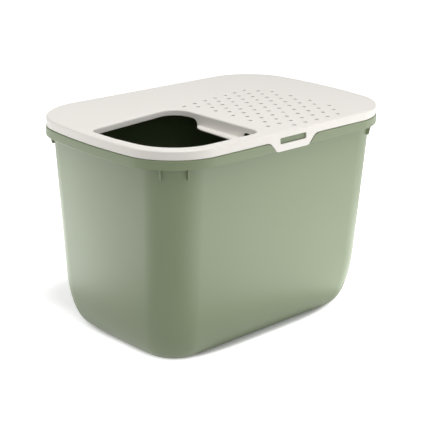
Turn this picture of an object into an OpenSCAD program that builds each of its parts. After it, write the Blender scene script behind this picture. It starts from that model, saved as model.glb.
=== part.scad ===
// Top entry litter box: an open tub with a lift-off lid that snaps on at the front and the rear.
// Millimetres. X runs along the length, Y along the depth, Z up from the floor.
// The origin is the middle of the footprint on the floor. The entry is at -X, the sieve deck at +X.

/* [Overall size] */
// Length over the lid, along X
lid_length = 585; // [500:5:700]
// Depth over the lid, along Y
lid_depth = 390; // [330:5:470]
// Height from the floor to the lid's deck
total_height = 395; // [320:5:470]
// Radius of the lid's corners in plan
corner_radius = 88; // [60:1:110]
// How far the short ends bow outwards
end_bow = 24; // [0:1:30]

/* [Lid] */
// Thickness of the deck
deck_thickness = 2.8; // [2:0.1:5]
// Height of the skirt that hangs from the deck's edge
skirt_height = 15.9; // [10:0.1:24]
// Thickness of the skirt
skirt_thickness = 2.5; // [2:0.1:4]
// Depth and thickness of the stiffening ribs under the deck
deck_rib_depth = 6; // [3:0.5:9]
deck_rib_thickness = 2; // [1.5:0.1:4]

/* [Entry opening] */
// Distance of the entry's right-hand wall from the middle of the lid
entry_right = 55; // [30:1:90]
// Distance of the entry's back wall from the front edge of the entry
entry_reach = 217; // [150:1:230]
// Rise of the back wall towards the sieve deck, in degrees
entry_back_slope = 8; // [0:1:12]
// Radius of the entry's front left corner, which follows the lid's own corner
entry_corner_radius = 90; // [50:1:100]
// Radii of the entry's other corners: back right, back left and front right
entry_back_right_radius = 34; // [24:1:45]
entry_back_left_radius = 22; // [14:1:34]
entry_front_right_radius = 22; // [14:1:34]
// Depth and thickness of the wall round the entry
entry_wall_depth = 11.5; // [6:0.5:13]
entry_wall_thickness = 2.5; // [2:0.1:4]
// Width of the ledge along the entry's right-hand wall, at the front and where its back end starts to round
ledge_width = 20; // [16:1:30]
ledge_end_width = 13; // [10:1:16]
// Depth of the ledge below the deck
ledge_depth = 22; // [18:0.5:30]
// Distance of the ledge's back end from the entry's back right corner
ledge_setback = 47; // [45:1:90]
// Rounding of the ledge's back end, and of the wall above it where the wall gets deeper
ledge_end_radius = 36; // [20:1:40]
ledge_wall_radius = 10; // [4:0.5:10]
// Width and height of the hook hole above the ledge, a slot with round ends
hook_hole_width = 18; // [12:0.5:24]
hook_hole_height = 11; // [6:0.5:12]
// Distance of the hook hole from the front edge of the entry
hook_hole_inset = 35; // [30:1:60]

/* [Sieve deck] */
// Diameter of the sieve holes
sieve_hole_diameter = 8; // [4:0.5:10]
// Distance between neighbouring holes in a row
sieve_pitch = 29.4; // [24:0.1:34]
// Distance between rows
sieve_row_pitch = 23.2; // [18:0.1:25]
// Place of the middle of the pattern, from the middle of the lid
sieve_middle_x = 71.6; // [60:0.1:80]
sieve_middle_y = -54.3; // [-60:0.1:-40]
// Slope of the middle row in degrees, and the turn added by each further row
sieve_slope = 4.8; // [0:0.1:6]
sieve_fan = 0.58; // [0:0.01:1]
// How much the pattern bends back at its first and last rows
sieve_bend = 7.7; // [0:0.1:10]
// Distance of the two ribs under the deck from the outermost holes
deck_rib_margin = 24; // [18:1:30]

/* [Tub] */
// Thickness of the tub's walls and floor
wall_thickness = 2.5; // [2:0.1:5]
// Overhang of the lid over the top of the tub's walls
rim_overhang = 14.5; // [12:0.5:22]
// Corner radius of the tub at the top of its walls
tub_corner_radius = 64; // [45:1:90]
// How far each wall leans in from top to bottom
wall_lean = 22; // [0:1:40]
// Rounding of the foot of the walls: its height, and how far it goes in at the ends and at the sides
foot_round_height = 121; // [40:1:140]
foot_round_end = 47; // [15:1:60]
foot_round_side = 37; // [15:1:50]
// Fullness of that rounding, 2 for an ellipse
foot_round_fullness = 2.5; // [2:0.1:4]
// Height of the rim band that hangs below the lid's skirt
band_height = 16.3; // [10:0.1:24]
// Thickness of the rim band and of the flange that carries it
band_thickness = 3; // [2:0.1:4]
// How far the rim band stands out past the lid's skirt
band_proud = 1; // [0:0.1:3]
// Depth of the step along the rim's outer edge, which leaves a dark line under the skirt
edge_step = 0.6; // [0:0.1:1]
// Height of the upstand inside the lid's skirt
upstand_height = 9; // [5:0.5:11]
// Thickness of the upstand
upstand_thickness = 2.5; // [1.5:0.1:4]
// Height of the four corner feet
foot_height = 2.5; // [1:0.5:6]
// Lengths of the gaps between the feet, along the sides and along the ends
side_gap = 270; // [100:5:300]
end_gap = 112; // [40:2:140]
// Thickness of the ribs under the rim's corners
corner_rib_thickness = 2.4; // [1.5:0.1:4]
// How far those ribs reach below the rim band
corner_rib_drop = 20; // [8:1:40]
// How far they stand out from the wall at the top and at the bottom
corner_rib_top = 10; // [6:0.5:11]
corner_rib_bottom = 5; // [2:0.5:8]
// Half the angle between the two ribs of a corner
corner_rib_angle = 17.5; // [8:0.5:25]

/* [Latches] */
// Width of a latch across its foot and across its root
latch_foot_width = 77; // [50:1:90]
latch_root_width = 111; // [94:1:150]
// How far a latch hangs below the lid's skirt
latch_drop = 18.8; // [14:0.2:24]
// Rounding of a latch's lower corners and of its roots
latch_corner_radius = 9; // [3:0.5:10]
latch_root_radius = 14; // [6:0.5:16]
// Width and height of the window in a latch, and the radius of its corners
window_width = 64; // [40:1:80]
window_height = 11; // [6:0.5:12]
window_corner_radius = 2.5; // [0.5:0.5:3]
// Height of the bar below the window
window_bar = 12.7; // [8:0.1:16]
// Depth of the pocket in the rim behind a latch
pocket_depth = 2; // [1:0.1:3]
// Thickness of the wall behind that pocket
pocket_wall = 2.5; // [1.5:0.1:4]
// Height of the catch that looks out through the window
catch_height = 5.7; // [3:0.1:6.2]

/* [Fits] */
// Gap between the lid's skirt and the flange it rests over
seat_gap = 0.3; // [0.2:0.05:1]
// Gap between the skirt and the upstand inside it
skirt_gap = 0.6; // [0.4:0.1:1.5]
// Gap between a latch and the edge of its pocket
pocket_gap = 1.4; // [0.6:0.1:2]
// Gap between a latch's bar and the catch
catch_gap = 0.2; // [0.15:0.05:0.5]
// Gaps between the wall round the entry and the inside of the tub's wall, at the front and at the left
entry_front_gap = 2.5; // [1:0.1:12]
entry_left_gap = 1.1; // [0.5:0.1:12]
// Gap between the ends of the catch and the sides of the window
catch_end_gap = 1; // [0.5:0.5:4]

/* [Hidden] */
tub_colour = "#98a388";
lid_colour = "#e6e3dd";
corner_steps = 10;
bow_steps = 7;
foot_rings = 12;
arc_steps = 12;
// Joined shapes reach this far into each other, and cuts run past the faces they open.
skin = 0.01;
past = 1;

lid_half_x = lid_length / 2;
lid_half_y = lid_depth / 2;
deck_underside = total_height - deck_thickness;
skirt_bottom = total_height - skirt_height;
flange_top = skirt_bottom - seat_gap;
flange_underside = flange_top - band_thickness;
band_bottom = flange_top - band_height;
wall_top = flange_top - band_thickness / 2;
// The skirt rests on the flange inside the step.
edge_top = flange_top - edge_step;
edge_step_inset = skirt_thickness / 3;
upstand_inset = skirt_thickness + skirt_gap;
floor_top = foot_height + wall_thickness;

// A latch's outer face is the skirt's own, so its depth along Y is worked out from there.
latch_top = skirt_bottom - seat_gap;
latch_bottom = latch_top - latch_drop;
latch_inner_y = lid_half_y - skirt_thickness;
window_bottom = latch_bottom + window_bar;
catch_face_y = latch_inner_y - catch_gap;
pocket_floor_y = latch_inner_y - pocket_depth;

// Points of a quarter circle of each corner in turn, then of the bowed end that follows it.
// The long sides stay straight, and the short ends bow out by bow at y = 0.
function bowed(p, half_x, half_y, bow) =
    [p.x + sign(p.x) * bow * (1 - pow(p.y / half_y, 2)) * abs(p.x) / (half_x - bow), p.y];
function corner_arc(quarter, half_x, half_y, radius) =
    let (side_x = quarter == 0 || quarter == 3 ? 1 : -1, side_y = quarter < 2 ? 1 : -1)
    [for (i = [0:corner_steps])
        let (turn = quarter * 90 + i * 90 / corner_steps)
        [side_x * (half_x - radius) + radius * cos(turn), side_y * (half_y - radius) + radius * sin(turn)]];
function end_line(side, half_x, half_y, radius) =
    [for (i = [1:bow_steps])
        [side * half_x, -side * (half_y - radius) * (1 - 2 * i / (bow_steps + 1))]];
function outline(half_x, half_y, radius, bow) =
    let (inner_x = half_x - bow)
    [for (p = concat(
            corner_arc(0, inner_x, half_y, radius),
            corner_arc(1, inner_x, half_y, radius),
            end_line(-1, inner_x, half_y, radius),
            corner_arc(2, inner_x, half_y, radius),
            corner_arc(3, inner_x, half_y, radius),
            end_line(1, inner_x, half_y, radius)))
        bowed(p, half_x, half_y, bow)];

// The lid's outline, moved in by inset all round.
function lid_outline(inset) =
    outline(lid_half_x - inset, lid_half_y - inset, corner_radius - inset, end_bow);

// The tub's outer surface at a share down the wall and a share round the foot: both 0 at the top.
tub_half_x = lid_half_x - rim_overhang;
tub_half_y = lid_half_y - rim_overhang;
// Towards the floor the ends grow nearly straight and the corners tighter.
base_bow = end_bow / 8;
corner_lean = wall_lean / 8;
corner_round = foot_round_side * 0.6;
function tub_size(down, round) = [
    tub_half_x - wall_lean * down - foot_round_end * round,
    tub_half_y - wall_lean * down - foot_round_side * round,
    tub_corner_radius - corner_lean * down - corner_round * round,
    end_bow + (base_bow - end_bow) * (down + round) / 2
];
function down_at(z) = 1 - z / wall_top;
function round_height(turn) = foot_round_height * (1 - pow(cos(turn), 2 / foot_round_fullness));
function round_share(turn) = 1 - pow(sin(turn), 2 / foot_round_fullness);
function tub_ring(size, inset, z) =
    [for (p = outline(size[0] - inset, size[1] - inset, size[2] - inset, size[3])) [p.x, p.y, z]];

// Rings of the tub's skin: up the outside, then down the inside to the floor.
foot_turns = [for (i = [0:foot_rings]) 90 * i / foot_rings];
inner_scale = (wall_top - floor_top) / wall_top;
outside_rings = concat(
    [for (turn = foot_turns)
        let (z = round_height(turn))
        tub_ring(tub_size(down_at(z), round_share(turn)), 0, z)],
    [tub_ring(tub_size(0, 0), 0, wall_top)]);
inside_rings = concat(
    [tub_ring(tub_size(0, 0), wall_thickness, wall_top)],
    [for (i = [foot_rings:-1:0])
        let (turn = foot_turns[i], z = round_height(turn))
        tub_ring(tub_size(down_at(z), round_share(turn)), wall_thickness, floor_top + z * inner_scale)]);
tub_rings = concat(outside_rings, inside_rings);

// A closed skin over a stack of rings that all have the same number of points.
module skin_over(rings) {
    count = len(rings[0]);
    last = len(rings) - 1;
    points = [for (ring = rings) for (p = ring) p];
    bottom = [for (i = [0:count - 1]) i];
    top = [for (i = [count - 1:-1:0]) last * count + i];
    sides = [for (r = [0:last - 1]) for (i = [0:count - 1])
        let (next = (i + 1) % count)
        for (triangle = [
            [r * count + i, (r + 1) * count + i, (r + 1) * count + next],
            [r * count + i, (r + 1) * count + next, r * count + next]])
        triangle];
    polyhedron(points = points, faces = concat([bottom, top], sides), convexity = 6);
}

module ring_wall(outer_points, inner_points, bottom, top) {
    translate([0, 0, bottom])
        linear_extrude(height = top - bottom, convexity = 6)
            difference() {
                polygon(outer_points);
                polygon(inner_points);
            }
}

// The line round a list of circles [x, y, radius], counterclockwise and convex.
// Each radius is increased by grow.
function edge_normal(from, to) =
    let (dx = to.x - from.x, dy = to.y - from.y)
    atan2(dy, dx) - acos((from.z - to.z) / norm([dx, dy]));
function after(start, turn) = turn < start ? after(start, turn + 360) : turn;
function round_circles(circles, grow) =
    let (n = len(circles))
    [for (i = [0:n - 1])
        let (
            here = circles[i],
            first = edge_normal(circles[(i + n - 1) % n], here),
            final = after(first, edge_normal(here, circles[(i + 1) % n])))
        for (k = [0:arc_steps])
            let (turn = first + (final - first) * k / arc_steps)
            [here.x + (here.z + grow) * cos(turn), here.y + (here.z + grow) * sin(turn)]];

// The entry: its front and left edges follow the lid's corner, and its back wall slopes.
// The left end bows, so its border lies further in near the corners.
entry_side_radius = entry_corner_radius + 8;
entry_corner_ease = 2;
entry_setback = rim_overhang + wall_thickness + entry_wall_thickness;
entry_border = entry_setback + entry_front_gap;
entry_left_border = entry_setback + entry_left_gap;
entry_front_y = -(lid_half_y - entry_border);
entry_back_y = entry_front_y + entry_reach;
entry_corner_y = entry_front_y + entry_corner_radius;
entry_side_y = entry_corner_y + 38;
entry_back_right_x = -entry_right - entry_back_right_radius;
entry_back_left_x = entry_left_edge(0) + entry_back_left_radius;
entry_corner_x = entry_left_edge(entry_corner_y) + entry_corner_ease + entry_corner_radius;
entry_front_right_x = -entry_right - entry_front_right_radius;
entry_slope_drop = (entry_back_right_x - entry_back_left_x) * tan(entry_back_slope);
function entry_left_edge(y) = -(lid_half_x - end_bow * pow(y / lid_half_y, 2) - entry_left_border);
entry_circles = [
    [entry_back_right_x, entry_back_y - entry_back_right_radius, entry_back_right_radius],
    [entry_back_left_x, entry_back_y - entry_slope_drop - entry_back_left_radius, entry_back_left_radius],
    [entry_left_edge(entry_side_y) + entry_side_radius, entry_side_y, entry_side_radius],
    [entry_corner_x, entry_corner_y, entry_corner_radius],
    [entry_front_right_x, entry_front_y + entry_front_right_radius, entry_front_right_radius]
];
entry_wall_bottom = total_height - entry_wall_depth;

// The ledge, and the hook hole that stands just above it.
ledge_top = total_height - ledge_depth;
ledge_underside = ledge_top - entry_wall_thickness;
ledge_edge_x = -entry_right - ledge_width;
ledge_end_x = -entry_right - ledge_end_width + ledge_end_radius;
ledge_end_y = entry_back_y - ledge_setback - ledge_end_radius;
ledge_wall_end_y = ledge_end_y + sqrt(pow(ledge_end_radius, 2) - pow(ledge_end_radius - ledge_end_width, 2));
hook_hole_lift = 0.5;
hook_hole_z = ledge_top + hook_hole_lift + hook_hole_height / 2;
hook_hole_y = entry_front_y + hook_hole_inset;

module entry_block(grow, bottom, top) {
    translate([0, 0, bottom])
        linear_extrude(height = top - bottom)
            polygon(round_circles(entry_circles, grow));
}

// The part of the entry that the ledge takes up, between two heights.
module ledge_block(grow, bottom, top) {
    right_x = -entry_right + 2 * ledge_end_radius;
    front_y = entry_front_y - entry_border / 2;
    corner = 1;
    intersection() {
        entry_block(grow, bottom, top);
        translate([0, 0, bottom - past])
            linear_extrude(height = top - bottom + 2 * past)
                polygon(round_circles([
                    [right_x, ledge_end_y, ledge_end_radius],
                    [ledge_end_x, ledge_end_y, ledge_end_radius],
                    [ledge_edge_x + corner, front_y, corner],
                    [right_x, front_y, corner]
                ], 0));
    }
}

// The sieve: eleven rows of holes in a diamond grid, five on each side of the middle row.
// A row's holes are counted in half pitches from its middle, and span gives the first and the last.
// The bend moves a row back along X, and by the share bend_slant of that along Y.
outer_row = 5;
outer_hole = 7;
bend_slant = 0.65;
function span(row) =
    row == -outer_row ? [-3, 5] : row == outer_row ? [-7, 5] : row % 2 == 0 ? [-6, 6] : [-5, outer_hole];
module sieve_places() {
    for (row = [-outer_row:outer_row]) {
        bend = sieve_bend * pow(row / outer_row, 2);
        turn = sieve_slope + sieve_fan * row;
        for (hole = [span(row)[0]:2:span(row)[1]]) {
            along = hole * sieve_pitch / 2;
            translate([
                sieve_middle_x - bend + along * cos(turn),
                sieve_middle_y + row * sieve_row_pitch - bend * bend_slant + along * sin(turn)])
                children();
        }
    }
}

// A latch's face seen from the front, in X and Z. Its roots flare into the skirt with hollow rounds.
// Grown by grow, it is the pocket's outline, which also stays clear of the tips of the roots.
function root_edge(side, grow) =
    let (
        foot_x = latch_foot_width / 2,
        slope = atan2(latch_drop, (latch_root_width - latch_foot_width) / 2),
        low = [foot_x - latch_corner_radius * tan(slope / 2), latch_bottom + latch_corner_radius],
        high = [latch_root_width / 2 + latch_root_radius * tan(slope / 2), latch_top - latch_root_radius])
    concat(
        [for (k = [0:arc_steps])
            let (turn = -90 + slope * k / arc_steps)
            [side * (low.x + (latch_corner_radius + grow) * cos(turn)),
                low.y + (latch_corner_radius + grow) * sin(turn)]],
        [for (k = [0:arc_steps])
            let (turn = 90 + slope * (1 - k / arc_steps))
            [side * (high.x + (latch_root_radius - grow) * cos(turn)),
                high.y + (latch_root_radius - grow) * sin(turn)]]);
function reversed(list) = [for (i = [len(list) - 1:-1:0]) list[i]];
function latch_face(grow, top) =
    let (right = root_edge(1, grow), tip = right[len(right) - 1], end_x = tip.x + grow)
    concat(reversed(root_edge(-1, grow)), right,
        grow > 0 ? [[end_x, tip.y], [end_x, top], [-end_x, top], [-end_x, tip.y]] : []);

// Turns a drawing in X and Z into a plate between two depths at the front.
module front_plate(near_y, far_y) {
    translate([0, -near_y, 0])
        rotate([90, 0, 0])
            linear_extrude(height = far_y - near_y, convexity = 4)
                children();
}

module window_shape() {
    radius = window_corner_radius;
    half = window_width / 2 - radius;
    polygon(round_circles([
        [half, window_bottom + window_height - radius, radius],
        [-half, window_bottom + window_height - radius, radius],
        [-half, window_bottom + radius, radius],
        [half, window_bottom + radius, radius]
    ], 0));
}

module latch() {
    color(lid_colour)
        front_plate(latch_inner_y, lid_half_y)
            difference() {
                polygon(latch_face(0, latch_top));
                window_shape();
            }
}

module front_latch() {
    latch();
}

module rear_latch() {
    rotate([0, 0, 180])
        latch();
}

module lid_shell() {
    translate([0, 0, deck_underside])
        linear_extrude(height = deck_thickness, convexity = 10)
            difference() {
                polygon(lid_outline(0));
                polygon(round_circles(entry_circles, 0));
                sieve_places()
                    circle(d = sieve_hole_diameter, $fn = 32);
            }
    ring_wall(lid_outline(0), lid_outline(skirt_thickness), skirt_bottom, deck_underside + skin);
}

module entry_wall() {
    difference() {
        union() {
            entry_block(entry_wall_thickness, entry_wall_bottom, deck_underside + skin);
            ledge_block(entry_wall_thickness, ledge_underside, deck_underside + skin);
            ledge_wall_end();
        }
        entry_block(0, ledge_top, total_height + past);
        difference() {
            entry_block(0, ledge_underside - past, ledge_top + past);
            ledge_block(past, ledge_underside - 2 * past, ledge_top + 2 * past);
        }
        translate([-entry_right - past, hook_hole_y, hook_hole_z])
            rotate([90, 0, 90])
                linear_extrude(height = entry_wall_thickness + 2 * past)
                    hook_slot();
    }
}

module hook_slot() {
    reach = (hook_hole_width - hook_hole_height) / 2;
    square([2 * reach, hook_hole_height], center = true);
    for (side = [-reach, reach])
        translate([side, 0])
            circle(d = hook_hole_height, $fn = 32);
}

// The hollow round where the wall's lower edge turns down to the ledge.
module ledge_wall_end() {
    translate([-entry_right, ledge_wall_end_y, entry_wall_bottom])
        rotate([90, 0, 90])
            linear_extrude(height = entry_wall_thickness)
                difference() {
                    translate([0, -ledge_wall_radius])
                        square([ledge_wall_radius, ledge_wall_radius + past]);
                    translate([ledge_wall_radius, -ledge_wall_radius])
                        circle(r = ledge_wall_radius, $fn = 48);
                }
}

// Two ribs under the deck stiffen it along the back and the far end of the sieve.
// They stay inside the rim's upstand.
far_rib_x = sieve_middle_x + outer_hole * sieve_pitch / 2 + deck_rib_margin;
back_rib_y = sieve_middle_y + outer_row * sieve_row_pitch + deck_rib_margin;
module deck_ribs() {
    translate([0, 0, deck_underside - deck_rib_depth])
        linear_extrude(height = deck_rib_depth + skin)
            intersection() {
                union() {
                    translate([far_rib_x, entry_front_y])
                        square([deck_rib_thickness, back_rib_y - entry_front_y]);
                    translate([-entry_right, back_rib_y])
                        square([far_rib_x + entry_right + deck_rib_thickness, deck_rib_thickness]);
                }
                polygon(lid_outline(upstand_inset + upstand_thickness + skirt_gap));
            }
}

module lid() {
    color(lid_colour)
        difference() {
            union() {
                lid_shell();
                entry_wall();
                deck_ribs();
            }
            for (turn = [0, 180])
                rotate([0, 0, turn])
                    front_plate(latch_inner_y - past, lid_half_y + past)
                        window_shape();
        }
}

// The rim: a flange out from the wall, a band that hangs from it, and an upstand inside the lid's skirt.
module rim() {
    wall_inside = [for (p = tub_ring(tub_size(0, 0), wall_thickness, 0)) [p.x, p.y]];
    ring_wall(lid_outline(edge_step_inset), wall_inside, flange_underside, flange_top);
    ring_wall(lid_outline(-band_proud), lid_outline(band_thickness - band_proud), band_bottom, edge_top);
    ring_wall(lid_outline(upstand_inset), lid_outline(upstand_inset + upstand_thickness),
        flange_top - past, flange_top + upstand_height);
}

// The pocket in the rim that a latch hangs in: a tray behind it, with the catch on its floor.
module pocket_tray() {
    front_plate(pocket_floor_y - pocket_wall, lid_half_y - edge_step_inset)
        intersection() {
            polygon(latch_face(pocket_gap + pocket_wall, latch_top));
            translate([-lid_half_x, band_bottom])
                square([lid_length, flange_top - band_bottom]);
        }
}

module pocket_cut() {
    front_plate(pocket_floor_y, lid_half_y + band_proud + past)
        polygon(latch_face(pocket_gap, latch_top + seat_gap / 2));
}

module catch() {
    catch_width = window_width - 2 * catch_end_gap;
    translate([-catch_width / 2, -catch_face_y, skirt_bottom - catch_height])
        cube([catch_width, catch_face_y - pocket_floor_y + past, catch_height]);
}

module corner_rib(angle) {
    top_z = wall_top;
    bottom_z = band_bottom - corner_rib_drop;
    size_top = tub_size(0, 0);
    size_bottom = tub_size(down_at(bottom_z), 0);
    at_top = rib_root(size_top, angle);
    at_bottom = rib_root(size_bottom, angle);
    lean = (at_top - at_bottom) * [cos(angle), sin(angle)];
    embed = wall_thickness / 2;
    translate([at_top.x, at_top.y, 0])
        rotate([90, 0, angle])
            translate([0, 0, -corner_rib_thickness / 2])
                linear_extrude(height = corner_rib_thickness)
                    polygon([
                        [-embed, top_z],
                        [corner_rib_top, top_z],
                        [corner_rib_bottom - lean, bottom_z],
                        [-embed - lean, bottom_z]
                    ]);
}
function rib_root(size, angle) =
    let (inner_x = size[0] - size[3])
    bowed([inner_x - size[2] + size[2] * cos(angle), size[1] - size[2] + size[2] * sin(angle)],
        size[0], size[1], size[3]);

module corner_ribs() {
    for (side = [0, 1])
        mirror([side, 0, 0])
            for (end = [0, 1])
                mirror([0, end, 0])
                    for (angle = [45 - corner_rib_angle, 45 + corner_rib_angle])
                        corner_rib(angle);
}

module gaps_between_feet() {
    translate([-side_gap / 2, -lid_half_y, -past])
        cube([side_gap, lid_depth, foot_height + past]);
    translate([-lid_half_x, -end_gap / 2, -past])
        cube([lid_length, end_gap, foot_height + past]);
}

module tub() {
    color(tub_colour)
        difference() {
            union() {
                difference() {
                    union() {
                        skin_over(tub_rings);
                        rim();
                        for (turn = [0, 180])
                            rotate([0, 0, turn])
                                pocket_tray();
                    }
                    for (turn = [0, 180])
                        rotate([0, 0, turn])
                            pocket_cut();
                }
                for (turn = [0, 180])
                    rotate([0, 0, turn])
                        catch();
                corner_ribs();
            }
            gaps_between_feet();
        }
}

tub();
lid();
front_latch();
rear_latch();
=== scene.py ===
import math
import bmesh
import bpy
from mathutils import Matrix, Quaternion, Vector


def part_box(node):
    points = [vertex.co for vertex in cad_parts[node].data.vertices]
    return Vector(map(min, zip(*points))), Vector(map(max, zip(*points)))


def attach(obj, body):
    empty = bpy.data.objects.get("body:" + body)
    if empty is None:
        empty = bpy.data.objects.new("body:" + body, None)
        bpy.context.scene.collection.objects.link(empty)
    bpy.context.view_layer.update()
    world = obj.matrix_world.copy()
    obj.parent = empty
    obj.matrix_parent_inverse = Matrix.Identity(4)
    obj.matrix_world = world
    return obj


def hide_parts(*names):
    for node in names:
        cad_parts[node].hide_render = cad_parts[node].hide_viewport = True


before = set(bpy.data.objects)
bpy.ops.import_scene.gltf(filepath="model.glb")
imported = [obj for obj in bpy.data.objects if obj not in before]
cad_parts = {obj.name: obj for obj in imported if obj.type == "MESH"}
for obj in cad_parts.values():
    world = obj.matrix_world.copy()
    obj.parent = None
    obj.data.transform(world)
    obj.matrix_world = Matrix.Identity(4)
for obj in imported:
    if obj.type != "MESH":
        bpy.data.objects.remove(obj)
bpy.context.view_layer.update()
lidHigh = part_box("lid")[1]
latchLow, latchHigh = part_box("front_latch")
bpy.context.scene.view_settings.view_transform = "Standard"
print("stage: frame loaded")

# camera first, where the photograph was taken from
cameraValues = {
    "place": (-1.4360, -1.5307, 0.9100),
    "azimuth": -43.12,
    "elevation": 18.86,
    "roll": 0.91,
    "lens": 100.54,
    "sensor": 36.0,
    "clip": (0.05, 50),
}


def makeCamera(values):
    bpy.ops.object.camera_add(location=values["place"])
    camera = bpy.context.object
    camera.name = "photoCamera"
    around, up = math.radians(values["azimuth"]), math.radians(values["elevation"])
    ahead = -Vector((math.sin(around) * math.cos(up), -math.cos(around) * math.cos(up), math.sin(up)))
    roll = Quaternion((0, 0, 1), math.radians(values["roll"]))
    camera.rotation_mode = "QUATERNION"
    camera.rotation_quaternion = ahead.to_track_quat("-Z", "Y") @ roll
    camera.data.sensor_width = values["sensor"]
    camera.data.lens = values["lens"]
    camera.data.clip_start, camera.data.clip_end = values["clip"]
    bpy.context.scene.camera = camera


makeCamera(cameraValues)
print("stage: camera")

# sizes in metres that the lid, the rim and the latches share, and how finely rounds are made
shared = {
    "cornerRadius": 0.088,
    "endBow": 0.024,
    "skirtThickness": 0.0025,
    "seatGap": 0.0003,
    "cornerSteps": 22,
    "endSteps": 15,
    "arcSteps": 14,
    "overrun": 0.002,    # how far a cutter reaches past what it cuts
    "sink": 0.0005,      # how far a joined block reaches into its neighbour
    "touch": 0.00001,    # places closer than this are one
}
lidHalfX, lidHalfY, lidTop = lidHigh
overrun, sink, touch = shared["overrun"], shared["sink"], shared["touch"]


def onCircle(middle, radius, turn):
    return (middle[0] + radius * math.cos(turn), middle[1] + radius * math.sin(turn))


def outline(halfX, halfY, radius, bow):
    # rounded rectangle, counterclockwise, whose short ends bow out by bow
    steps, endSteps = shared["cornerSteps"], shared["endSteps"]
    innerX = halfX - bow
    points = []
    for quarter in range(4):
        sideX = 1 if quarter in (0, 3) else -1
        sideY = 1 if quarter < 2 else -1
        middle = (sideX * (innerX - radius), sideY * (halfY - radius))
        for i in range(steps + 1):
            points.append(onCircle(middle, radius, math.radians(90 * (quarter + i / steps))))
        if quarter in (1, 3):
            for i in range(1, endSteps + 1):
                points.append((sideX * innerX, -sideX * (halfY - radius) * (1 - 2 * i / (endSteps + 1))))
    return [(x + math.copysign(bow, x) * (1 - (y / halfY) ** 2) * abs(x) / innerX, y) for x, y in points]


def lidRing(inset, z):
    points = outline(lidHalfX - inset, lidHalfY - inset, shared["cornerRadius"] - inset, shared["endBow"])
    return atHeight(points, z)


def roundCircles(circles, grow):
    # the line round some circles (x, y, radius), counterclockwise
    steps = shared["arcSteps"]
    points = []
    for i, here in enumerate(circles):
        turns = []
        for a, b in ((circles[i - 1], here), (here, circles[(i + 1) % len(circles)])):
            run = Vector((b[0] - a[0], b[1] - a[1]))
            turns.append(math.atan2(run.y, run.x) - math.acos((a[2] - b[2]) / run.length))
        first, final = turns
        while final < first:
            final += 2 * math.pi
        for k in range(steps + 1):
            points.append(onCircle(here, here[2] + grow, first + (final - first) * k / steps))
    return points


def atHeight(points, z):
    return [(x, y, z) for x, y in points]


def quarterRound(count=3):
    # shares across and along a quarter circle, from its flat start to its upright end
    turns = [math.pi / 2 * i / count for i in range(count + 1)]
    return [(1 - math.sin(turn), 1 - math.cos(turn)) for turn in turns]


def choose(pieces):
    # selects these pieces alone, and makes the first one active
    bpy.ops.object.select_all(action="DESELECT")
    for piece in pieces:
        piece.select_set(True)
    bpy.context.view_layer.objects.active = pieces[0]


def openPiece(piece):
    choose([piece])
    bpy.ops.object.mode_set(mode="EDIT")
    return bmesh.from_edit_mesh(piece.data)


def closePiece(piece):
    bmesh.update_edit_mesh(piece.data)
    bpy.ops.object.mode_set(mode="OBJECT")


def sweepRings(name, rings):
    # a filled circle laid on the first ring, then extruded and laid on each ring after it
    bpy.ops.object.select_all(action="DESELECT")
    bpy.ops.mesh.primitive_circle_add(vertices=len(rings[0]), fill_type="NGON")
    piece = bpy.context.object
    piece.name = piece.data.name = name
    mesh = openPiece(piece)
    place = mesh.verts.layers.int.new("place")
    mesh.verts.ensure_lookup_table()
    for i, vert in enumerate(mesh.verts):
        vert[place] = i
        vert.co = rings[0][i]
    bpy.ops.mesh.select_all(action="SELECT")
    for ring in rings[1:]:
        bpy.ops.mesh.extrude_region_move()
        mesh = bmesh.from_edit_mesh(piece.data)
        place = mesh.verts.layers.int["place"]
        for vert in mesh.verts:
            if vert.select:
                vert.co = ring[vert[place]]
    bpy.ops.mesh.select_all(action="SELECT")
    bpy.ops.mesh.normals_make_consistent(inside=False)
    closePiece(piece)
    return piece


def block(name, low, high):
    bpy.ops.object.select_all(action="DESELECT")
    bpy.ops.mesh.primitive_cube_add(size=1)
    piece = bpy.context.object
    piece.name = name
    mesh = openPiece(piece)
    for vert in mesh.verts:
        vert.co = [low[i] if vert.co[i] < 0 else high[i] for i in range(3)]
    closePiece(piece)
    return piece


def joinPieces(pieces):
    choose(pieces)
    bpy.ops.object.join()
    return bpy.context.object


def combine(piece, other, operation):
    modifier = piece.modifiers.new("combine", "BOOLEAN")
    modifier.operation = operation
    modifier.solver = "EXACT"
    modifier.object = other
    choose([piece])
    bpy.ops.object.modifier_apply(modifier=modifier.name)
    bpy.data.objects.remove(other)
    return piece


def turned(piece, isRear):
    # a half turn about the middle, for what the rear shares with the front
    if isRear:
        mesh = openPiece(piece)
        for vert in mesh.verts:
            vert.co.x, vert.co.y = -vert.co.x, -vert.co.y
        closePiece(piece)
    return piece


# how the edges and the surface of each moulding are finished
finishing = {
    "bevelFrom": 35,
    "smoothBelow": 34,
    "mergeDistance": 0.000005,
}


def liesAt(axis, level):
    # a test of an edge: both its ends are at this level along an axis, 1 for y and 2 for z
    return lambda edge: all(abs(vert.co[axis] - level) < touch for vert in edge.verts)


def roundEdges(piece, isChosen, width, segments=3):
    # bevels the chosen edges, unless they are flat
    mesh = openPiece(piece)
    bpy.ops.mesh.select_all(action="DESELECT")
    bpy.context.tool_settings.mesh_select_mode = (False, True, False)
    bevelFrom = math.radians(finishing["bevelFrom"])
    count = 0
    for edge in mesh.edges:
        if isChosen(edge) and edge.is_manifold and edge.calc_face_angle(0) > bevelFrom:
            edge.select_set(True)
            count += 1
    if count:
        bpy.ops.mesh.bevel(offset=width, segments=segments, affect="EDGES", clamp_overlap=True)
    closePiece(piece)
    print("  rounded", count, "edges of", piece.name)


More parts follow.
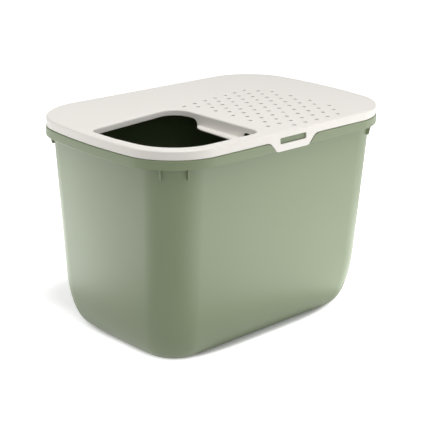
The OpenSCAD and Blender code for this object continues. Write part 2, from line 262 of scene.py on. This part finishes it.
def finishPiece(piece, material, body, nodes):
    openPiece(piece)
    bpy.ops.mesh.select_all(action="SELECT")
    bpy.ops.mesh.remove_doubles(threshold=finishing["mergeDistance"])
    bpy.ops.mesh.fill_holes(sides=3)  # closes the slits of no width that a cut can leave
    bpy.ops.mesh.dissolve_degenerate(threshold=finishing["mergeDistance"])
    closePiece(piece)
    piece.data.validate()  # drops the faces that a cut along a shared line leaves twice
    bpy.ops.object.shade_smooth_by_angle(angle=math.radians(finishing["smoothBelow"]))
    weighted = piece.modifiers.new("weighted", "WEIGHTED_NORMAL")
    weighted.keep_sharp = True
    bpy.ops.object.modifier_apply(modifier=weighted.name)
    piece.data.materials.clear()
    piece.data.materials.append(material)
    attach(piece, body)
    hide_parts(*nodes)
    print("  finished", piece.name, len(piece.data.polygons), "faces")


# finishes: each is mixed from noise on the piece's own coordinates
tubFinish = {
    "colour": (0.180, 0.225, 0.122, 1),
    "darker": (0.168, 0.211, 0.113, 1),
    "cloudScale": 5.0,
    "cloudDetail": 3.0,
    "grainScale": 900.0,
    "grainDetail": 2.0,
    "grainDepth": 0.035,
    "grainHeight": 0.0004,
    "specular": 0.6,
    "ior": 1.49,
    "roughLow": 0.39,
    "roughHigh": 0.45,
}
lidFinish = {
    **tubFinish,
    "colour": (0.794, 0.764, 0.717, 1),
    "darker": (0.776, 0.745, 0.697, 1),
    "cloudScale": 6.0,
    "grainScale": 1100.0,
    "grainDepth": 0.03,
}


def mouldedPlastic(name, values):
    material = bpy.data.materials.new(name)
    material.use_nodes = True
    nodes, links = material.node_tree.nodes, material.node_tree.links
    shader = nodes["Principled BSDF"]
    shader.inputs["IOR"].default_value = values["ior"]
    shader.inputs["Specular IOR Level"].default_value = values["specular"]
    place = nodes.new("ShaderNodeTexCoord").outputs["Object"]

    clouds = nodes.new("ShaderNodeTexNoise")  # slow drift of the pigment
    clouds.inputs["Scale"].default_value = values["cloudScale"]
    clouds.inputs["Detail"].default_value = values["cloudDetail"]
    tint = nodes.new("ShaderNodeMix")
    tint.data_type = "RGBA"
    tint.inputs["A"].default_value = values["colour"]
    tint.inputs["B"].default_value = values["darker"]
    links.new(place, clouds.inputs["Vector"])
    links.new(clouds.outputs["Fac"], tint.inputs["Factor"])
    links.new(tint.outputs["Result"], shader.inputs["Base Color"])

    grain = nodes.new("ShaderNodeTexNoise")  # the mould's fine spark grain
    grain.inputs["Scale"].default_value = values["grainScale"]
    grain.inputs["Detail"].default_value = values["grainDetail"]
    links.new(place, grain.inputs["Vector"])
    bump = nodes.new("ShaderNodeBump")
    bump.inputs["Strength"].default_value = values["grainDepth"]
    bump.inputs["Distance"].default_value = values["grainHeight"]
    links.new(grain.outputs["Fac"], bump.inputs["Height"])
    links.new(bump.outputs["Normal"], shader.inputs["Normal"])

    gloss = nodes.new("ShaderNodeMapRange")  # the gloss wanders with the clouds
    gloss.inputs["To Min"].default_value = values["roughLow"]
    gloss.inputs["To Max"].default_value = values["roughHigh"]
    links.new(clouds.outputs["Fac"], gloss.inputs["Value"])
    links.new(gloss.outputs["Result"], shader.inputs["Roughness"])
    return material


tubPlastic = mouldedPlastic("tubPlastic", tubFinish)
lidPlastic = mouldedPlastic("lidPlastic", lidFinish)
print("stage: finishes")

# latch: a tongue that hangs below the skirt, with a window that reaches up into the skirt
latchValues = {
    "footWidth": 0.077,
    "rootWidth": 0.111,
    "cornerRadius": 0.009,
    "rootRadius": 0.014,
    "windowWidth": 0.064,
    "windowHeight": 0.011,
    "windowBar": 0.0127,
    "windowCorner": 0.0025,
    "windowFlare": 0.0006,
    "edgeRound": 0.0007,
}
latchTop, latchBottom = latchHigh.z, latchLow.z
latchInnerY = lidHalfY - shared["skirtThickness"]


def latchFace(values, grow, top):
    # outline in x and z, grown by grow, with hollow rounds where the tongue flares into the skirt
    steps = shared["arcSteps"]
    slope = math.atan2(latchTop - latchBottom, (values["rootWidth"] - values["footWidth"]) / 2)
    corner, root = values["cornerRadius"], values["rootRadius"]
    low = (values["footWidth"] / 2 - corner * math.tan(slope / 2), latchBottom + corner)
    high = (values["rootWidth"] / 2 + root * math.tan(slope / 2), latchTop - root)
    right = [onCircle(low, corner + grow, -math.pi / 2 + slope * k / steps) for k in range(steps + 1)]
    right += [onCircle(high, root - grow, math.pi / 2 + slope * (1 - k / steps)) for k in range(steps + 1)]
    rootZ = right[-1][1]
    if top > rootZ + touch:
        right += [(high[0] + grow, rootZ), (high[0] + grow, top)]
    return [(-x, z) for x, z in reversed(right)] + right


def windowFace(values, grow=0):
    corner = values["windowCorner"]
    low = latchBottom + values["windowBar"] + corner
    high = low + values["windowHeight"] - 2 * corner
    half = values["windowWidth"] / 2 - corner
    corners = [(half, high, corner), (-half, high, corner), (-half, low, corner), (half, low, corner)]
    return roundCircles(corners, grow)


def frontPlate(name, layers):
    # a prism that faces the front: each layer is an outline in x and z, and its y
    return sweepRings(name, [[(x, y, z) for x, z in points] for points, y in layers])


def windowCutter(values):
    # cuts the window's upper part into the skirt, with a flared edge
    flare = values["windowFlare"]
    face, mouth = windowFace(values), windowFace(values, flare)
    return frontPlate("windowCutter", [(face, -latchInnerY + overrun), (face, -lidHalfY + flare),
                                       (mouth, -lidHalfY), (mouth, -lidHalfY - overrun)])


def makeLatch(name, isRear, body):
    values = latchValues
    face, window = latchFace(values, 0, latchTop), windowFace(values)
    latch = frontPlate(name, [(face, -latchInnerY), (face, -lidHalfY)])
    drill = frontPlate("window", [(window, -latchInnerY + overrun), (window, -lidHalfY - overrun)])
    combine(latch, drill, "DIFFERENCE")
    isOuter, isRoot = liesAt(1, -lidHalfY), liesAt(2, latchTop)
    roundEdges(latch, lambda edge: isOuter(edge) and not isRoot(edge), values["edgeRound"])
    turned(latch, isRear)
    finishPiece(latch, lidPlastic, body, [body])


makeLatch("frontLatch", False, "front_latch")
makeLatch("rearLatch", True, "rear_latch")
print("stage: latches")

# lid: deck and skirt in one shell, then the entry, the ledge, the windows and the sieve
lidValues = {
    "deckThickness": 0.0028,
    "edgeRound": 0.0032,
    "edgeSteps": 6,
    "lowerRound": 0.0009,
    "innerRound": 0.0015,
    "deckMargin": 0.012,
    "rootFillDepth": 0.0008,
    "rootFillRise": 0.0012,
    "rootFillGap": 0.0001,
    "ribDepth": 0.006,
    "ribThickness": 0.002,
    "ribMargin": 0.024,
}
deckUnder = lidTop - lidValues["deckThickness"]
skirtBottom = latchTop + shared["seatGap"]


def lidShell(values):
    top, low, inner = values["edgeRound"], values["lowerRound"], values["innerRound"]
    thick = shared["skirtThickness"]
    edgeRounds, rounds = quarterRound(values["edgeSteps"]), quarterRound()
    rings = [lidRing(values["deckMargin"], lidTop)]
    rings += [lidRing(top * across, lidTop - top * down) for across, down in edgeRounds]
    rings += [lidRing(low * down, skirtBottom + low * across) for across, down in rounds]
    rings += [lidRing(thick - low * across, skirtBottom + low * down) for across, down in rounds]
    rings += [lidRing(thick + inner * down, deckUnder - inner * across) for across, down in rounds]
    rings.append(lidRing(values["deckMargin"], deckUnder))
    return sweepRings("lidMoulding", rings)


def rootFill(values):
    # closes the line between the skirt's round lower edge and the root of a latch
    half = latchFace(latchValues, 0, latchTop)[-1][0]
    return block("rootFill", (-half, -lidHalfY, latchTop + values["rootFillGap"]),
                 (half, -lidHalfY + values["rootFillDepth"], skirtBottom + values["rootFillRise"]))


# entry: five rounds joined by straight or nearly straight edges, and a wall that hangs from the deck
entryValues = {
    "border": 0.022,
    "leftBorder": 0.0206,
    "right": 0.055,
    "reach": 0.217,
    "backSlope": 8,
    "cornerRadius": 0.090,
    "cornerEase": 0.002,
    "sideRise": 0.038,
    "sideEase": 0.008,
    "backRightRadius": 0.034,
    "backLeftRadius": 0.022,
    "frontRightRadius": 0.022,
    "wallDepth": 0.0115,
    "wallThickness": 0.0025,
    "topRound": 0.0030,
    "topSteps": 6,
    "lowRound": 0.0010,
}
entryRight = -entryValues["right"]
entryFrontY = -(lidHalfY - entryValues["border"])
entryBackY = entryFrontY + entryValues["reach"]
entryWallBottom = lidTop - entryValues["wallDepth"]


def entryLeft(y):
    return -(lidHalfX - shared["endBow"] * (y / lidHalfY) ** 2 - entryValues["leftBorder"])


def entryCircles(values):
    corner, backRight = values["cornerRadius"], values["backRightRadius"]
    backLeft, frontRight = values["backLeftRadius"], values["frontRightRadius"]
    side = corner + values["sideEase"]
    cornerY = entryFrontY + corner
    sideY = cornerY + values["sideRise"]
    backRightX = entryRight - backRight
    backLeftX = entryLeft(0) + backLeft
    drop = (backRightX - backLeftX) * math.tan(math.radians(values["backSlope"]))
    return [
        (backRightX, entryBackY - backRight, backRight),
        (backLeftX, entryBackY - drop - backLeft, backLeft),
        (entryLeft(sideY) + side, sideY, side),
        (entryLeft(cornerY) + values["cornerEase"] + corner, cornerY, corner),
        (entryRight - frontRight, entryFrontY + frontRight, frontRight),
    ]


def entryRing(grow, z):
    return atHeight(roundCircles(entryCircles(entryValues), grow), z)


# ledge: a shelf low in the entry's front right, under a wall with the slot for a hook
ledgeValues = {
    "width": 0.020,
    "endWidth": 0.013,
    "depth": 0.022,
    "setback": 0.047,
    "endRadius": 0.036,
    "cornerRadius": 0.004,
    "wallRadius": 0.010,
    "wallSteps": 10,
    "wallOverlap": 0.001,  # how far the round at the wall's end reaches into the wall
    "edgeRound": 0.0011,
    "footRound": 0.0025,
    "footRise": 0.00375,  # where the cut below the ledge ends, above the round at its foot
    "roundSteps": 4,
    "hookWidth": 0.018,
    "hookHeight": 0.011,
    "hookInset": 0.035,
    "hookLift": 0.0005,
}
ledgeTop = lidTop - ledgeValues["depth"]
ledgeEndY = entryBackY - ledgeValues["setback"] - ledgeValues["endRadius"]


def ledgeRing(values, inset, z):
    end, corner = values["endRadius"], values["cornerRadius"]
    rightX = entryRight + 2 * end
    frontY = entryFrontY - entryValues["border"] / 2
    circles = [
        (rightX, ledgeEndY, end),
        (entryRight - values["endWidth"] + end, ledgeEndY, end),
        (entryRight - values["width"] + corner, frontY + corner, corner),
        (rightX, frontY + corner, corner),
    ]
    return atHeight(roundCircles(circles, -inset), z)


def ledgeWallEnd(values):
    # the hollow round where the wall's lower edge turns down to the ledge
    radius, width, corner = values["endRadius"], values["endWidth"], values["wallRadius"]
    endY = ledgeEndY + math.sqrt(radius ** 2 - (radius - width) ** 2)
    startY, top = endY - values["wallOverlap"], entryWallBottom + values["wallOverlap"]
    face = [(startY, top), (startY, entryWallBottom - corner)]
    face += [(endY + corner * down, entryWallBottom - corner * across)
             for across, down in quarterRound(values["wallSteps"])]
    face.append((endY + corner, top))
    ends = (entryRight, entryRight + entryValues["wallThickness"])
    return sweepRings("ledgeWallEnd", [[(x, y, z) for y, z in face] for x in ends])


def hookDrill(values):
    # a slot with round ends through the wall above the ledge, and through the round at its foot
    radius = values["hookHeight"] / 2
    reach = values["hookWidth"] / 2 - radius
    middleY, middleZ = entryFrontY + values["hookInset"], ledgeTop + values["hookLift"] + radius
    face = roundCircles([(middleY - reach, middleZ, radius), (middleY + reach, middleZ, radius)], 0)
    ends = (entryRight - values["footRound"] - overrun, entryRight + entryValues["wallThickness"] + overrun)
    return sweepRings("hookDrill", [[(x, y, z) for y, z in face] for x in ends])


# sieve: rows of holes from front to rear, each span in half pitches left and right of the middle
sieveValues = {
    "holeDiameter": 0.008,
    "holeSides": 20,
    "mouthRound": 0.0006,
    "spans": ((-3, 5), (-6, 6), (-5, 7), (-6, 6), (-5, 7), (-6, 6),
              (-5, 7), (-6, 6), (-5, 7), (-6, 6), (-7, 5)),
    "pitch": 0.0294,
    "rowPitch": 0.0232,
    "middle": (0.0716, -0.0543),
    "slope": 4.8,
    "fan": 0.58,
    "bend": 0.0077,
    "bendSlant": 0.65,
}
lastRow = len(sieveValues["spans"]) // 2
lastHole = max(final for first, final in sieveValues["spans"]) / 2  # in whole pitches


def sieveDrill(values):
    # one drill with a flared mouth
    radius, flare = values["holeDiameter"] / 2, values["mouthRound"]
    bpy.ops.object.select_all(action="DESELECT")
    bpy.ops.mesh.primitive_circle_add(vertices=values["holeSides"], radius=radius, fill_type="NGON")
    drill = bpy.context.object
    mesh = openPiece(drill)
    for vert in mesh.verts:
        vert.co.z = deckUnder - overrun
    steps = [(radius, lidTop - flare)]
    steps += [(radius + flare * down, lidTop - flare * across) for across, down in quarterRound()[1:]]
    steps.append((radius + flare, lidTop + overrun))
    for reach, z in steps:
        bpy.ops.mesh.extrude_region_move()
        mesh = bmesh.from_edit_mesh(drill.data)
        for vert in mesh.verts:
            if vert.select:
                side = Vector((vert.co.x, vert.co.y, 0)).normalized() * reach
                vert.co = (side.x, side.y, z)
    bpy.ops.mesh.select_all(action="SELECT")
    bpy.ops.mesh.normals_make_consistent(inside=False)
    closePiece(drill)
    return drill


def sieveCutter(values):
    # the drill copied to each hole and joined
    drill = sieveDrill(values)
    middleX, middleY = values["middle"]
    drills = []
    for row, (first, final) in enumerate(values["spans"], -lastRow):
        bend = values["bend"] * (row / lastRow) ** 2
        turn = math.radians(values["slope"] + values["fan"] * row)
        rowX = middleX - bend
        rowY = middleY + row * values["rowPitch"] - bend * values["bendSlant"]
        for hole in range(first, final + 1, 2):
            copy = drill.copy()
            copy.data = drill.data.copy()
            bpy.context.collection.objects.link(copy)
            copy.location = (*onCircle((rowX, rowY), hole * values["pitch"] / 2, turn), 0)
            drills.append(copy)
    bpy.data.objects.remove(drill)
    print("  sieve holes:", len(drills))
    cutter = joinPieces(drills)
    bpy.ops.object.transform_apply(location=True, rotation=True, scale=True)
    return cutter


def deckRibs(values):
    # two ribs that cross under the deck, kept inside the tub's upstand
    top, low = deckUnder + sink, deckUnder - values["ribDepth"]
    thick = values["ribThickness"]
    farX = sieveValues["middle"][0] + lastHole * sieveValues["pitch"] + values["ribMargin"]
    backY = sieveValues["middle"][1] + lastRow * sieveValues["rowPitch"] + values["ribMargin"]
    ribs = block("farRib", (farX, entryFrontY, low), (farX + thick, backY, top))
    combine(ribs, block("backRib", (entryRight, backY, low), (farX + thick, backY + thick, top)), "UNION")
    return ribs


def addLedge(lid, ledge):
    # a block fills the ledge's side of the entry up to the deck, and the cutters leave the shelf of it
    wall, soft, corner = entryValues["wallThickness"], ledge["edgeRound"], ledge["cornerRadius"]
    inside = deckUnder + sink
    under = ledgeTop - wall
    shelf = sweepRings("ledgeBlock", [ledgeRing(ledge, 0, under), ledgeRing(ledge, 0, inside)])
    room = sweepRings("entryRoom", [entryRing(wall, under - overrun), entryRing(wall, inside + overrun)])
    combine(lid, combine(shelf, room, "INTERSECT"), "UNION")
    combine(lid, ledgeWallEnd(ledge), "UNION")

    foot = ledge["footRound"]
    rounds = quarterRound(ledge["roundSteps"])
    rings = [entryRing(-foot * across, ledgeTop + foot * down) for across, down in rounds]
    combine(lid, sweepRings("entryCutter", rings + [entryRing(0, lidTop + overrun)]), "DIFFERENCE")

    lower = [entryRing(0, under - overrun), entryRing(0, ledgeTop + ledge["footRise"])]
    keeper = [ledgeRing(ledge, 0, under - 2 * overrun)]
    keeper += [ledgeRing(ledge, soft * down, ledgeTop - soft * across) for across, down in rounds]
    keeper += [ledgeRing(ledge, corner, ledgeTop), ledgeRing(ledge, corner, inside)]
    lower = combine(sweepRings("lowerCutter", lower), sweepRings("ledgeKeeper", keeper), "DIFFERENCE")
    combine(lid, lower, "DIFFERENCE")


def makeLid():
    lid = lidShell(lidValues)
    entry = entryValues
    wall = entry["wallThickness"]
    rings = [entryRing(wall, entryWallBottom), entryRing(wall, deckUnder + sink)]
    combine(lid, sweepRings("entryBlock", rings), "UNION")
    addLedge(lid, ledgeValues)
    roundEdges(lid, liesAt(2, lidTop), entry["topRound"], entry["topSteps"])
    roundEdges(lid, liesAt(2, entryWallBottom), entry["lowRound"])
    combine(lid, deckRibs(lidValues), "UNION")
    combine(lid, hookDrill(ledgeValues), "DIFFERENCE")
    for isRear in (False, True):
        combine(lid, turned(rootFill(lidValues), isRear), "UNION")
        combine(lid, turned(windowCutter(latchValues), isRear), "DIFFERENCE")
    combine(lid, sieveCutter(sieveValues), "DIFFERENCE")
    finishPiece(lid, lidPlastic, "lid", ["lid"])


makeLid()
print("stage: lid")

# tub: one moulding from its feet up to the rim's flange, band and upstand
tubValues = {
    "rimOverhang": 0.0145,
    "cornerRadius": 0.064,
    "cornerLean": 0.00275,
    "wallLean": 0.022,
    "wallThickness": 0.0025,
    "bowLoss": 0.4375,
    "footRoundHeight": 0.121,
    "footRoundEnds": 0.047,
    "footRoundSides": 0.037,
    "footRoundCorner": 0.0222,
    "footRoundFullness": 2.5,
    "footRoundSteps": 26,
    "wallSteps": 6,
    "feetHeight": 0.0025,
    "sideGap": 0.270,
    "endGap": 0.112,
}
rimValues = {
    "bandHeight": 0.0163,
    "bandThickness": 0.003,
    "bandProud": 0.001,
    "edgeStep": 0.0006,
    "upstandHeight": 0.009,
    "upstandThickness": 0.0025,
    "skirtGap": 0.0006,
    "topRound": 0.0010,
    "lowRound": 0.0009,
    "upstandRound": 0.0008,
    "mouthRound": 0.0010,
}
flangeTop = skirtBottom - shared["seatGap"]
flangeUnder = flangeTop - rimValues["bandThickness"]
bandBottom = flangeTop - rimValues["bandHeight"]
wallTop = flangeTop - rimValues["bandThickness"] / 2
edgeTop = flangeTop - rimValues["edgeStep"]
edgeInset = shared["skirtThickness"] / 3


def tubSize(z, turn=None):
    # half lengths, corner radius and bow of the wall at z; turn is its place on the foot's round
    values = tubValues
    down = 1 - z / wallTop
    foot = 0 if turn is None else 1 - math.sin(turn) ** (2 / values["footRoundFullness"])
    inset = values["rimOverhang"] + values["wallLean"] * down
    return (lidHalfX - inset - values["footRoundEnds"] * foot,
            lidHalfY - inset - values["footRoundSides"] * foot,
            values["cornerRadius"] - values["cornerLean"] * down - values["footRoundCorner"] * foot,
            shared["endBow"] * (1 - values["bowLoss"] * (down + foot)))


def tubRing(size, inset, z):
    halfX, halfY, radius, bow = size
    return atHeight(outline(halfX - inset, halfY - inset, radius - inset, bow), z)


def footRounds(inset, lift):
    # rings from the floor up the foot's round; lift raises the inside of the floor
    values = tubValues
    rings = []
    for i in range(values["footRoundSteps"] + 1):
        turn = math.pi / 2 * i / values["footRoundSteps"]
        z = values["footRoundHeight"] * (1 - abs(math.cos(turn)) ** (2 / values["footRoundFullness"]))
        rings.append(tubRing(tubSize(z, turn), inset, lift + z * (wallTop - lift) / wallTop))
    return rings


def wallRings(inset, lift, top):
    # rings from above the foot's round up to the rim
    low, steps = tubValues["footRoundHeight"], tubValues["wallSteps"]
    rings = []
    for i in range(1, steps + 1):
        z = low + (wallTop - low) * i / steps
        rings.append(tubRing(tubSize(z), inset, min(top, lift + z * (wallTop - lift) / wallTop)))
    return rings


def tubShell(values, rim):
    wall = values["wallThickness"]
    inner, outer = rim["bandThickness"] - rim["bandProud"], -rim["bandProud"]
    low, top, tip, mouth = rim["lowRound"], rim["topRound"], rim["upstandRound"], rim["mouthRound"]
    upOuter = shared["skirtThickness"] + rim["skirtGap"]
    upInner = upOuter + rim["upstandThickness"]
    upTop = flangeTop + rim["upstandHeight"]
    rounds = quarterRound()
    rings = footRounds(0, 0) + wallRings(0, 0, flangeUnder)
    rings.append(lidRing(inner, flangeUnder))
    rings += [lidRing(inner - low * down, bandBottom + low * across) for across, down in rounds]
    rings += [lidRing(outer + low * across, bandBottom + low * down) for across, down in rounds]
    rings += [lidRing(outer + top * down, edgeTop - top * across) for across, down in rounds]
    rings += [lidRing(edgeInset, edgeTop), lidRing(edgeInset, flangeTop), lidRing(upOuter, flangeTop)]
    rings += [lidRing(upOuter + tip * down, upTop - tip * across) for across, down in rounds]
    rings += [lidRing(upInner - tip * across, upTop - tip * down) for across, down in rounds]
    rings.append(lidRing(upInner, flangeTop))
    rings += [tubRing(tubSize(wallTop), wall - mouth * across, flangeTop - mouth * down)
              for across, down in rounds]
    lift = values["feetHeight"] + wall
    rings += (footRounds(wall, lift) + wallRings(wall, lift, wallTop))[::-1]
    return sweepRings("tubMoulding", rings)


# latch pocket: a tray in the rim that the latch hangs in, with a catch behind its window
pocketValues = {
    "gap": 0.0014,
    "depth": 0.002,
    "wall": 0.0025,
    "flare": 0.0005,
    "catchWidth": 0.062,
    "catchHeight": 0.0057,
    "catchGap": 0.0002,  # between the catch and the latch's inner face
    "catchRound": 0.0006,
}


def pocketTray(values):
    floorY = latchInnerY - values["depth"]
    face = latchFace(latchValues, values["gap"] + values["wall"], latchTop)
    tray = frontPlate("pocketTray", [(face, -floorY + values["wall"]), (face, -lidHalfY + edgeInset)])
    keep = block("keep", (-lidHalfX, -lidHalfY, bandBottom), (lidHalfX, 0, flangeTop))
    return combine(tray, keep, "INTERSECT")


def pocketCutter(values):
    gap, flare = values["gap"], values["flare"]
    top = latchTop + shared["seatGap"] / 2
    outer = lidHalfY + rimValues["bandProud"]
    layers = [(latchFace(latchValues, gap, top), -latchInnerY + values["depth"])]
    layers += [(latchFace(latchValues, gap + flare * down, top), -outer + flare * across)
               for across, down in quarterRound()]
    layers.append((latchFace(latchValues, gap + flare, top), -outer - overrun))
    return frontPlate("pocketCutter", layers)


def catchBlock(values):
    low, half = skirtBottom - values["catchHeight"], values["catchWidth"] / 2
    face = -latchInnerY + values["catchGap"]
    catch = block("catch", (-half, face, low), (half, -latchInnerY + values["depth"] + sink, skirtBottom))
    isFront, isLow = liesAt(1, face), liesAt(2, low)
    roundEdges(catch, lambda edge: isFront(edge) and isLow(edge), values["catchRound"])
    return catch


# ribs: a pair of upright ones under each corner of the rim
cornerRibValues = {
    "thickness": 0.0024,
    "drop": 0.020,
    "standTop": 0.010,
    "standBottom": 0.005,
    "halfAngle": 17.5,
    "roundFrom": 0.001,  # edges this far out of the wall are rounded
    "edgeRound": 0.0006,
}


def cornerPlace(size, out):
    # where the corner of a wall of this size faces out, seen from above
    halfX, halfY, radius, bow = size
    x = halfX - bow - radius + radius * out.x
    y = halfY - radius + radius * out.y
    return Vector((x + bow * (1 - (y / halfY) ** 2) * x / (halfX - bow), y))


def cornerRib(values, sideX, sideY, angle):
    out = Vector(onCircle((0, 0), 1, math.radians(angle)))
    low = bandBottom - values["drop"]
    high = cornerPlace(tubSize(wallTop), out)
    lean = (high - cornerPlace(tubSize(low), out)).dot(out)
    embed = tubValues["wallThickness"] / 2
    face = [(-embed, wallTop), (values["standTop"], wallTop),
            (values["standBottom"] - lean, low), (-embed - lean, low)]
    rings = []
    for offset in (-values["thickness"] / 2, values["thickness"] / 2):
        rings.append([(sideX * (high.x + along * out.x - offset * out.y),
                       sideY * (high.y + along * out.y + offset * out.x), z) for along, z in face])
    rib = sweepRings("cornerRib", rings)

    def isFree(vert):
        return (Vector((abs(vert.co.x), abs(vert.co.y))) - high).dot(out) > values["roundFrom"] - lean

    roundEdges(rib, lambda edge: all(isFree(vert) for vert in edge.verts), values["edgeRound"])
    return rib


def feetGaps(values):
    # shallow gaps across the base, which leave a foot at each corner
    side, end, height = values["sideGap"] / 2, values["endGap"] / 2, values["feetHeight"]
    gaps = block("sideGap", (-side, -lidHalfY, -overrun), (side, lidHalfY, height))
    return combine(gaps, block("endGap", (-lidHalfX, -end, -overrun), (lidHalfX, end, height)), "UNION")


def makeTub():
    tub = tubShell(tubValues, rimValues)
    for isRear in (False, True):
        combine(tub, turned(pocketTray(pocketValues), isRear), "UNION")
        combine(tub, turned(pocketCutter(pocketValues), isRear), "DIFFERENCE")
        combine(tub, turned(catchBlock(pocketValues), isRear), "UNION")
    turn = cornerRibValues["halfAngle"]
    ribs = [cornerRib(cornerRibValues, sideX, sideY, angle)
            for sideX in (1, -1) for sideY in (1, -1) for angle in (45 - turn, 45 + turn)]
    combine(tub, joinPieces(ribs), "UNION")
    combine(tub, feetGaps(tubValues), "DIFFERENCE")
    finishPiece(tub, tubPlastic, "tub", ["tub"])


makeTub()
print("stage: tub")

# studio: a pale floor whose glow holds painted shadows by the tub, and a sky, soft boxes above,
# at the sides and behind the camera, and two panels that lie on the floor
studioValues = {
    "floorSize": 12.0,
    "floorColour": (0.80, 0.80, 0.80, 1),
    "glow": 1.0,
    # painted shadow: the glow drops round the tub's foot and behind its left half, where the tub's real
    # shadow also falls, so these darker patches are partly real and partly painted shadow
    "paintedShadows": (
        {"middle": (0, 0), "spread": (1.0, 1.5), "reach": (0.212, 0.240), "least": 0.10},
        {"middle": (-0.08, 0.16), "spread": (1.0, 1.0), "reach": (0.11, 0.21), "least": 0.50},
    ),
    "skyColour": (1.0, 1.0, 1.0, 1),
    "skyStrength": 0.14,
    "skySeen": 1.0,
    "aim": (0, 0, 0.2),
}
softBoxes = {
    "topBox": {"azimuth": -14, "height": 2.1, "distance": 0.7, "size": (1.6, 1.6), "power": 26},
    "leftTopBox": {"azimuth": -110, "height": 2.1, "distance": 1.1, "size": (1.0, 1.0), "power": 10},
    "fillBox": {"azimuth": -43, "height": 1.47, "distance": 2.72, "size": (1.2, 1.2), "power": 8},
    "rightBox": {"azimuth": 46, "height": 0.70, "distance": 2.1, "size": (1.32, 0.7), "power": 10},
    "farRightBox": {"azimuth": 66, "height": 0.26, "distance": 2.1, "size": (1.32, 0.5), "power": 3},
    "leftBox": {"azimuth": -132, "height": 0.60, "distance": 2.1, "size": (1.32, 0.7), "power": 2.5},
}
floorPanels = {
    "leftPanel": {"azimuth": -136, "height": 0.004, "distance": 0.78, "size": (1.1, 0.8), "power": 5.2},
    "rightPanel": {"azimuth": 32, "height": 0.004, "distance": 0.66, "size": (1.1, 0.8), "power": 4.2},
}


def makeLamp(name, values):
    around = math.radians(values["azimuth"])
    out = Vector((math.sin(around), -math.cos(around), 0))
    place = out * values["distance"] + Vector((0, 0, values["height"]))
    bpy.ops.object.light_add(type="AREA", location=place)
    lamp = bpy.context.object
    lamp.name = name
    lamp.data.shape = "RECTANGLE"
    lamp.data.size, lamp.data.size_y = values["size"]
    lamp.data.energy = values["power"]
    lamp.rotation_euler = (math.pi, 0, around)  # lies flat and shines up
    return lamp


def aimLamp(lamp, place):
    lamp.rotation_euler = (Vector(place) - lamp.location).to_track_quat("-Z", "Y").to_euler()


def mathStep(nodes, links, operation, *terms):
    # a Math node on one or two sockets
    step = nodes.new("ShaderNodeMath")
    step.operation = operation
    for i, term in enumerate(terms):
        links.new(term, step.inputs[i])
    return step


def seenRays(nodes, links):
    # 1 for rays that show the surface to the camera, also through gloss and glass
    rays = nodes.new("ShaderNodeLightPath")
    total = rays.outputs["Is Camera Ray"]
    for name in ("Is Glossy Ray", "Is Transmission Ray"):
        add = mathStep(nodes, links, "ADD", total, rays.outputs[name])
        add.use_clamp = True
        total = add.outputs[0]
    return total


def paintedShadowLevel(nodes, links, place, paintedShadow, glow):
    # painted shadow: less glow within a rounded rectangle, the fourth root of x^4 + y^4, so the floor is
    # darker there
    last = place
    for operation, second in (("SUBTRACT", (*paintedShadow["middle"], 0)), ("MULTIPLY", (*paintedShadow["spread"], 1)),
                              ("MULTIPLY", None), ("LENGTH", None)):
        step = nodes.new("ShaderNodeVectorMath")
        step.operation = operation
        links.new(last, step.inputs[0])
        if second:
            step.inputs[1].default_value = second
        elif operation == "MULTIPLY":
            links.new(last, step.inputs[1])
        last = step.outputs["Value" if operation == "LENGTH" else "Vector"]
    level = nodes.new("ShaderNodeMapRange")
    level.interpolation_type = "SMOOTHSTEP"
    level.inputs["From Min"].default_value, level.inputs["From Max"].default_value = paintedShadow["reach"]
    level.inputs["To Min"].default_value = paintedShadow["least"] * glow
    level.inputs["To Max"].default_value = glow
    links.new(mathStep(nodes, links, "SQRT", last).outputs[0], level.inputs["Value"])
    return level.outputs["Result"]


def makeFloor(values):
    bpy.ops.object.select_all(action="DESELECT")
    bpy.ops.mesh.primitive_plane_add(size=values["floorSize"])
    floor = bpy.context.object
    floor.name = "floor"
    material = bpy.data.materials.new("studioFloor")
    material.use_nodes = True
    nodes, links = material.node_tree.nodes, material.node_tree.links
    nodes.remove(nodes["Principled BSDF"])
    matt = nodes.new("ShaderNodeBsdfDiffuse")
    matt.inputs["Color"].default_value = values["floorColour"]
    glow = nodes.new("ShaderNodeEmission")
    place = nodes.new("ShaderNodeTexCoord").outputs["Object"]
    strength = seenRays(nodes, links)
    # each painted shadow dims the floor's glow within its area
    for paintedShadow in values["paintedShadows"]:
        level = paintedShadowLevel(nodes, links, place, paintedShadow, values["glow"])
        strength = mathStep(nodes, links, "MULTIPLY", strength, level).outputs[0]
    links.new(strength, glow.inputs["Strength"])
    both = nodes.new("ShaderNodeAddShader")
    links.new(matt.outputs[0], both.inputs[0])
    links.new(glow.outputs[0], both.inputs[1])
    links.new(both.outputs[0], nodes["Material Output"].inputs["Surface"])
    floor.data.materials.append(material)


def makeSky(values):
    # dim as a light, and white where the camera sees it
    world = bpy.data.worlds.new("studio")
    bpy.context.scene.world = world
    world.use_nodes = True
    nodes, links = world.node_tree.nodes, world.node_tree.links
    sky = nodes["Background"]
    sky.inputs["Color"].default_value = values["skyColour"]
    level = nodes.new("ShaderNodeMapRange")
    level.inputs["To Min"].default_value = values["skyStrength"]
    level.inputs["To Max"].default_value = values["skySeen"]
    links.new(seenRays(nodes, links), level.inputs["Value"])
    links.new(level.outputs[0], sky.inputs["Strength"])


for lampName, lampValues in softBoxes.items():
    aimLamp(makeLamp(lampName, lampValues), studioValues["aim"])
for lampName, lampValues in floorPanels.items():
    makeLamp(lampName, lampValues)
makeFloor(studioValues)
makeSky(studioValues)
print("stage: studio")
